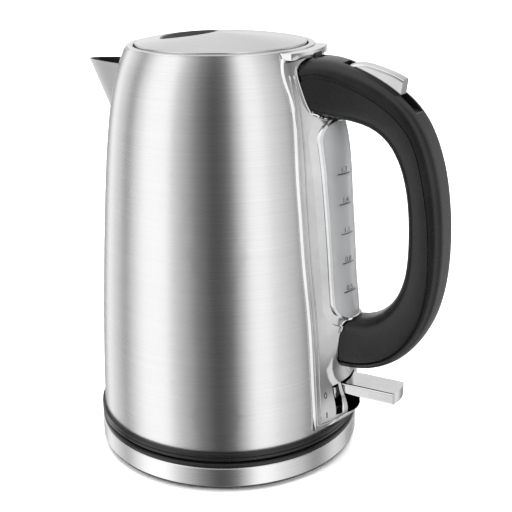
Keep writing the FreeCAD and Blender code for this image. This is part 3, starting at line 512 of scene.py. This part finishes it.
def root_rings():
    """Bright trim rings where the handle's roots meet the column."""
    tree = surface_of("handle_bracket")
    for name, (free, fixed) in ROOTS.items():
        loop = []
        for k in range(ROOT_STEPS):
            turn = 2 * math.pi * (k + 0.5) / ROOT_STEPS
            start, end = section_point(free, turn), section_point(fixed, turn)
            hit = tree.ray_cast(start, (end - start).normalized(), (end - start).length * 1.1)
            if hit[0] is not None:
                loop.append(hit[0])
        middle = sum(loop, Vector()) / len(loop)
        loop = [point + (point - middle).normalized() * ROOT_STAND_OFF * MM for point in loop]
        bead_along("handle_ring_" + name, loop, ROOT_BEAD * MM, True)


flange_beads()
root_rings()


# ---------------------------------------------------------------- studio
def add_area(name, place, aim, width, height, power):
    """A soft rectangular lamp, in metres and watts."""
    light = bpy.data.lights.new(name, "AREA")
    light.shape = "RECTANGLE"
    light.size = width
    light.size_y = height
    light.energy = power
    holder = bpy.data.objects.new(name, light)
    holder.location = place
    holder.visible_glossy = False     # metal mirrors the world's soft boxes, not the lamps
    holder.rotation_euler = (Vector(aim) - Vector(place)).to_track_quat("-Z", "Y").to_euler()
    bpy.context.scene.collection.objects.link(holder)


# soft boxes and dark gaps round the set: (direction in degrees, brightness)
SOFT_BOXES = (
    (-180, 0.62), (-165, 0.3), (-151, 0.75), (-141, 1.0), (-118, 1.0), (-106, 0.55), (-97, 0.4), (-85, 0.16),
    (-70, 0.05), (-56, 0.1), (-46, 0.5), (-37, 0.95), (-25, 0.95), (-12, 0.7), (2, 0.55), (22, 0.2),
    (48, 0.7), (80, 0.25), (104, 0.62), (128, 0.7), (146, 0.28), (162, 0.9), (180, 0.62),
)
WORLD_STRENGTH = 1.4
FLOOR_DROP = 0.0002       # the floor lies this far under the feet, metres


def add_floor():
    """Plain pale paper under the kettle."""
    made = bmesh.new()
    bmesh.ops.create_grid(made, x_segments=2, y_segments=2, size=4.0)
    floor_mesh = mesh_from("studio_floor", made)
    floor = bpy.data.objects.new("studio_floor", floor_mesh)
    floor.location.z = -FLOOR_DROP
    bpy.context.scene.collection.objects.link(floor)
    paper = Shade("floor_paper")
    fibre = paper.noise(paper.place, 260.0, 3.0)
    paper.tint(paper.span(fibre, 0.0, 1.0), (0.93,) * 3, (0.95,) * 3)
    paper.set(Roughness=0.7)
    floor_mesh.materials.append(paper.material)
    floor.visible_glossy = False      # metal mirrors the world's soft boxes, not the paper


def add_world():
    """A white backdrop to the camera, and a ring of soft boxes to everything else."""
    world = bpy.data.worlds.new("studio_world")
    world.use_nodes = True
    tree = world.node_tree
    nodes, links = tree.nodes, tree.links
    background = nodes["Background"]
    where = nodes.new("ShaderNodeTexCoord")
    parts = nodes.new("ShaderNodeSeparateXYZ")
    links.new(where.outputs["Generated"], parts.inputs[0])
    angle = nodes.new("ShaderNodeMath")
    angle.operation = "ARCTAN2"
    links.new(parts.outputs[1], angle.inputs[0])
    links.new(parts.outputs[0], angle.inputs[1])
    share = nodes.new("ShaderNodeMapRange")
    share.inputs["From Min"].default_value = -math.pi
    share.inputs["From Max"].default_value = math.pi
    links.new(angle.outputs[0], share.inputs["Value"])
    bands = nodes.new("ShaderNodeValToRGB")
    bands.color_ramp.interpolation = "EASE"
    ramp = bands.color_ramp.elements
    while len(ramp) < len(SOFT_BOXES):
        ramp.new(0.5)
    for element, (degrees, level) in zip(ramp, SOFT_BOXES):
        element.position = (degrees + 180) / 360
        element.color = (level, level, level, 1.0)
    links.new(share.outputs["Result"], bands.inputs["Fac"])
    # overhead the set is one large soft light
    high = nodes.new("ShaderNodeMapRange")
    high.inputs["From Min"].default_value = 0.8
    high.inputs["From Max"].default_value = 1.0
    links.new(parts.outputs[2], high.inputs["Value"])
    mix = nodes.new("ShaderNodeMix")
    mix.data_type = "RGBA"
    links.new(high.outputs["Result"], mix.inputs["Factor"])
    links.new(bands.outputs["Color"], mix.inputs[6])
    mix.inputs[7].default_value = (0.9, 0.9, 0.9, 1.0)
    links.new(mix.outputs[2], background.inputs["Color"])
    background.inputs["Strength"].default_value = WORLD_STRENGTH
    plain = nodes.new("ShaderNodeBackground")
    plain.inputs["Color"].default_value = (1, 1, 1, 1)
    path = nodes.new("ShaderNodeLightPath")
    choose = nodes.new("ShaderNodeMixShader")
    links.new(path.outputs["Is Camera Ray"], choose.inputs[0])
    links.new(background.outputs[0], choose.inputs[1])
    links.new(plain.outputs[0], choose.inputs[2])
    links.new(choose.outputs[0], nodes["World Output"].inputs["Surface"])
    bpy.context.scene.world = world


def add_lamps():
    """One lamp for the backdrop and three for the kettle."""
    add_area("backdrop_light", (-1.0, 1.9, 1.5), (-1.2, 2.1, 0.0), 2.6, 2.6, 60.0)
    add_area("key_light", (-0.35, -1.1, 0.95), (0, 0, 0.12), 0.5, 0.7, 9.0)
    add_area("side_light", (1.1, -0.5, 0.6), (0, 0, 0.12), 0.4, 0.8, 8.0)
    add_area("top_light", (0.1, 0.2, 1.3), (0, 0, 0.1), 1.6, 1.6, 26.0)


add_floor()
add_world()
add_lamps()
bpy.context.scene.view_settings.view_transform = "Standard"
